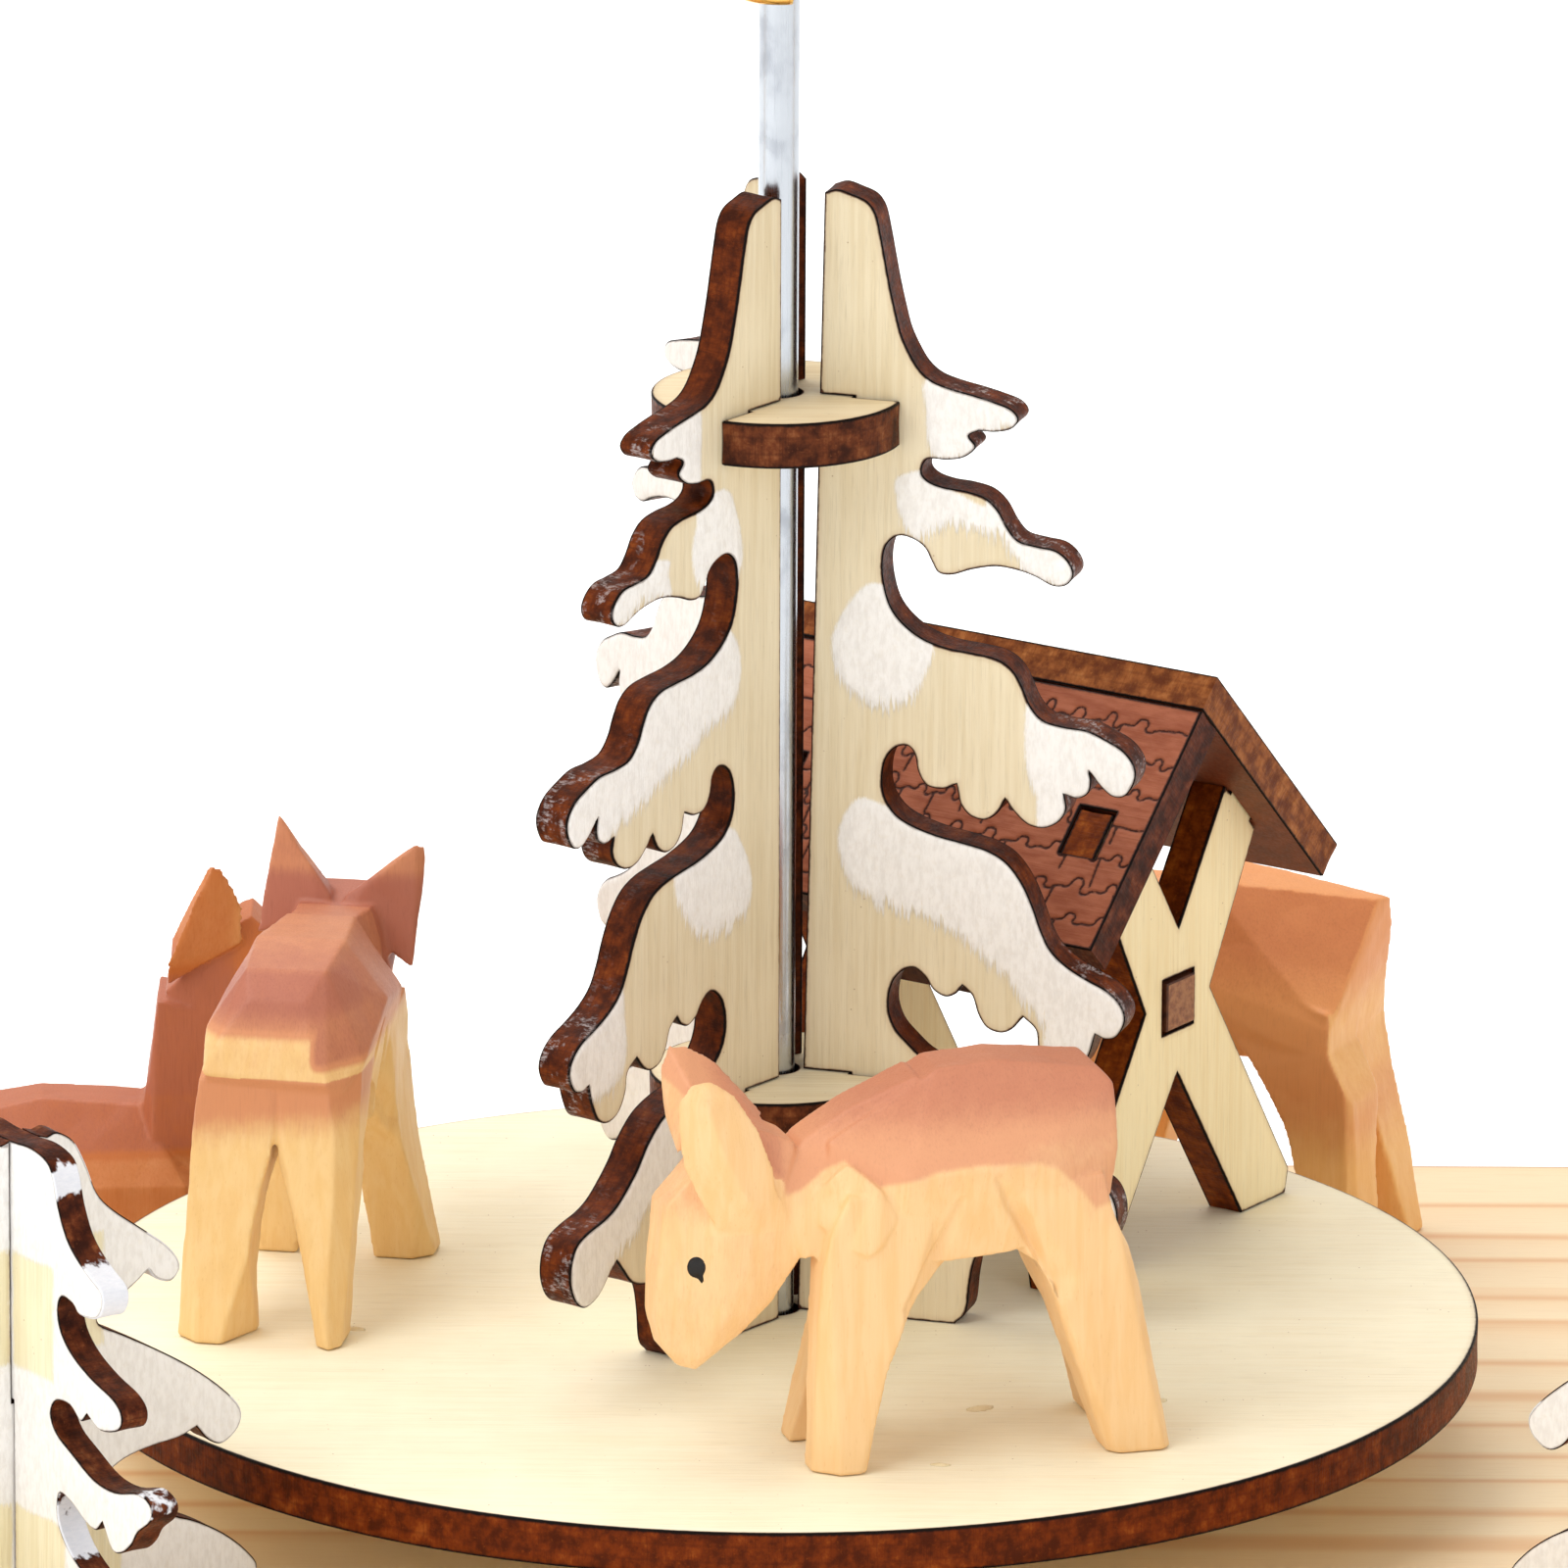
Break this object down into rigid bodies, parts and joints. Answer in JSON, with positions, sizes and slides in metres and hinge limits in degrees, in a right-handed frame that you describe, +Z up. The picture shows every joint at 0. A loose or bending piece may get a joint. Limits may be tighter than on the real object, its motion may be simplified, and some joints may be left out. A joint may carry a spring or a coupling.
{
  "type": "candle carousel",
  "caption": "Table candle carousel: heat-turned paddle wheel on a spindle that spins a disc with a plywood fir, hay rack and carved deer over a wooden base",
  "frame": {"origin": "middle of the footprint at the level the feet stand on, on the spindle's axis", "axes": "+Z up along the spindle, +X to the right seen from the front, +Y to the back"},
  "size_m": [0.28, 0.28, 0.2448],
  "materials": {
    "base_board": "sanded pine with visible growth rings",
    "base_foot_1": "stained turned wood",
    "base_foot_2": "stained turned wood",
    "base_foot_3": "stained turned wood",
    "base_foot_4": "stained turned wood",
    "bearing_cup": "small polished glass bearing",
    "post_left": "turned and sanded pine",
    "post_right": "turned and sanded pine",
    "crossbar": "sanded pine",
    "guide_hook": "bright brass wire",
    "candle_holder_1": "turned wood, satin",
    "candle_cup_1": "spun brass",
    "candle_holder_2": "turned wood, satin",
    "candle_cup_2": "spun brass",
    "candle_holder_3": "turned wood, satin",
    "candle_cup_3": "spun brass",
    "candle_holder_4": "turned wood, satin",
    "candle_cup_4": "spun brass",
    "small_tree_left_panel_a": "laser-cut plywood brushed with white snow paint",
    "small_tree_left_panel_b": "laser-cut plywood brushed with white snow paint",
    "small_tree_right_panel_a": "laser-cut plywood brushed with white snow paint",
    "small_tree_right_panel_b": "laser-cut plywood brushed with white snow paint",
    "spindle": "polished steel rod",
    "turntable_disc": "laser-cut plywood with a burnt brown edge",
    "disc_hub": "turned wood",
    "tree_collar_lower": "laser-cut plywood with a burnt brown edge",
    "tree_collar_upper": "laser-cut plywood with a burnt brown edge",
    "tree_fin_right": "laser-cut plywood, burnt edges and brushed white snow paint",
    "tree_fin_left": "laser-cut plywood, burnt edges and brushed white snow paint",
    "tree_fin_back": "laser-cut plywood, burnt edges and brushed white snow paint",
    "rack_end_near": "laser-cut plywood",
    "rack_end_far": "laser-cut plywood",
    "rack_beam": "dark stained square strip",
    "rack_roof_near": "dark stained plywood engraved with shingles",
    "rack_roof_far": "dark stained plywood engraved with shingles",
    "deer_grazing": "knife-carved limewood, reddish brown sprayed back",
    "deer_disc_left": "knife-carved limewood, reddish brown sprayed back",
    "deer_base_right": "knife-carved limewood, reddish brown sprayed back",
    "deer_base_left": "knife-carved limewood, reddish brown sprayed back",
    "rotor_hub": "turned wood",
    "rotor_finial": "turned wood, stained dark red",
    "vane_1": "thin sanded basswood",
    "stem_1": "split hardwood dowel",
    "vane_2": "thin sanded basswood",
    "stem_2": "split hardwood dowel",
    "vane_3": "thin sanded basswood",
    "stem_3": "split hardwood dowel",
    "vane_4": "thin sanded basswood",
    "stem_4": "split hardwood dowel",
    "vane_5": "thin sanded basswood",
    "stem_5": "split hardwood dowel",
    "vane_6": "thin sanded basswood",
    "stem_6": "split hardwood dowel",
    "vane_7": "thin sanded basswood",
    "stem_7": "split hardwood dowel",
    "vane_8": "thin sanded basswood",
    "stem_8": "split hardwood dowel"
  },
  "bodies": {
    "base": {"base_board": "base_board", "base_foot_1": "base_foot_1", "base_foot_2": "base_foot_2", "base_foot_3": "base_foot_3", "base_foot_4": "base_foot_4", "bearing_cup": "bearing_cup", "post_left": "post_left", "post_right": "post_right", "crossbar": "crossbar", "guide_hook": "guide_hook", "candle_holder_1": "candle_holder_1", "candle_cup_1": "candle_cup_1", "candle_holder_2": "candle_holder_2", "candle_cup_2": "candle_cup_2", "candle_holder_3": "candle_holder_3", "candle_cup_3": "candle_cup_3", "candle_holder_4": "candle_holder_4", "candle_cup_4": "candle_cup_4", "small_tree_left_panel_a": "small_tree_left_panel_a", "small_tree_left_panel_b": "small_tree_left_panel_b", "small_tree_right_panel_a": "small_tree_right_panel_a", "small_tree_right_panel_b": "small_tree_right_panel_b", "deer_base_right": "deer_base_right", "deer_base_left": "deer_base_left"},
    "rotor": {"spindle": "spindle", "turntable_disc": "turntable_disc", "disc_hub": "disc_hub", "tree_collar_lower": "tree_collar_lower", "tree_collar_upper": "tree_collar_upper", "tree_fin_right": "tree_fin_right", "tree_fin_left": "tree_fin_left", "tree_fin_back": "tree_fin_back", "rack_end_near": "rack_end_near", "rack_end_far": "rack_end_far", "rack_beam": "rack_beam", "rack_roof_near": "rack_roof_near", "rack_roof_far": "rack_roof_far", "deer_grazing": "deer_grazing", "deer_disc_left": "deer_disc_left", "rotor_hub": "rotor_hub", "rotor_finial": "rotor_finial"},
    "blade_1": {"vane_1": "vane_1", "stem_1": "stem_1"},
    "blade_2": {"vane_2": "vane_2", "stem_2": "stem_2"},
    "blade_3": {"vane_3": "vane_3", "stem_3": "stem_3"},
    "blade_4": {"vane_4": "vane_4", "stem_4": "stem_4"},
    "blade_5": {"vane_5": "vane_5", "stem_5": "stem_5"},
    "blade_6": {"vane_6": "vane_6", "stem_6": "stem_6"},
    "blade_7": {"vane_7": "vane_7", "stem_7": "stem_7"},
    "blade_8": {"vane_8": "vane_8", "stem_8": "stem_8"}
  },
  "joints": [
    {"name": "rotor_spin", "type": "hinge", "parent": "base", "child": "rotor", "pos_m": [0, 0, 0.012], "axis": [0, 0, 1], "continuous": true},
    {"name": "blade_1_pitch", "type": "hinge", "parent": "rotor", "child": "blade_1", "pos_m": [0.013, 0, 0.223], "axis": [1, 0, 0], "range_deg": [-76, 52]},
    {"name": "blade_2_pitch", "type": "hinge", "parent": "rotor", "child": "blade_2", "pos_m": [0.00919, 0.00919, 0.223], "axis": [0.7071, 0.7071, 0], "range_deg": [-76, 52]},
    {"name": "blade_3_pitch", "type": "hinge", "parent": "rotor", "child": "blade_3", "pos_m": [0, 0.013, 0.223], "axis": [0, 1, 0], "range_deg": [-76, 52]},
    {"name": "blade_4_pitch", "type": "hinge", "parent": "rotor", "child": "blade_4", "pos_m": [-0.00919, 0.00919, 0.223], "axis": [-0.7071, 0.7071, 0], "range_deg": [-76, 52]},
    {"name": "blade_5_pitch", "type": "hinge", "parent": "rotor", "child": "blade_5", "pos_m": [-0.013, 0, 0.223], "axis": [-1, 0, 0], "range_deg": [-76, 52]},
    {"name": "blade_6_pitch", "type": "hinge", "parent": "rotor", "child": "blade_6", "pos_m": [-0.00919, -0.00919, 0.223], "axis": [-0.7071, -0.7071, 0], "range_deg": [-76, 52]},
    {"name": "blade_7_pitch", "type": "hinge", "parent": "rotor", "child": "blade_7", "pos_m": [0, -0.013, 0.223], "axis": [0, -1, 0], "range_deg": [-76, 52]},
    {"name": "blade_8_pitch", "type": "hinge", "parent": "rotor", "child": "blade_8", "pos_m": [0.00919, -0.00919, 0.223], "axis": [0.7071, -0.7071, 0], "range_deg": [-76, 52]}
  ]
}
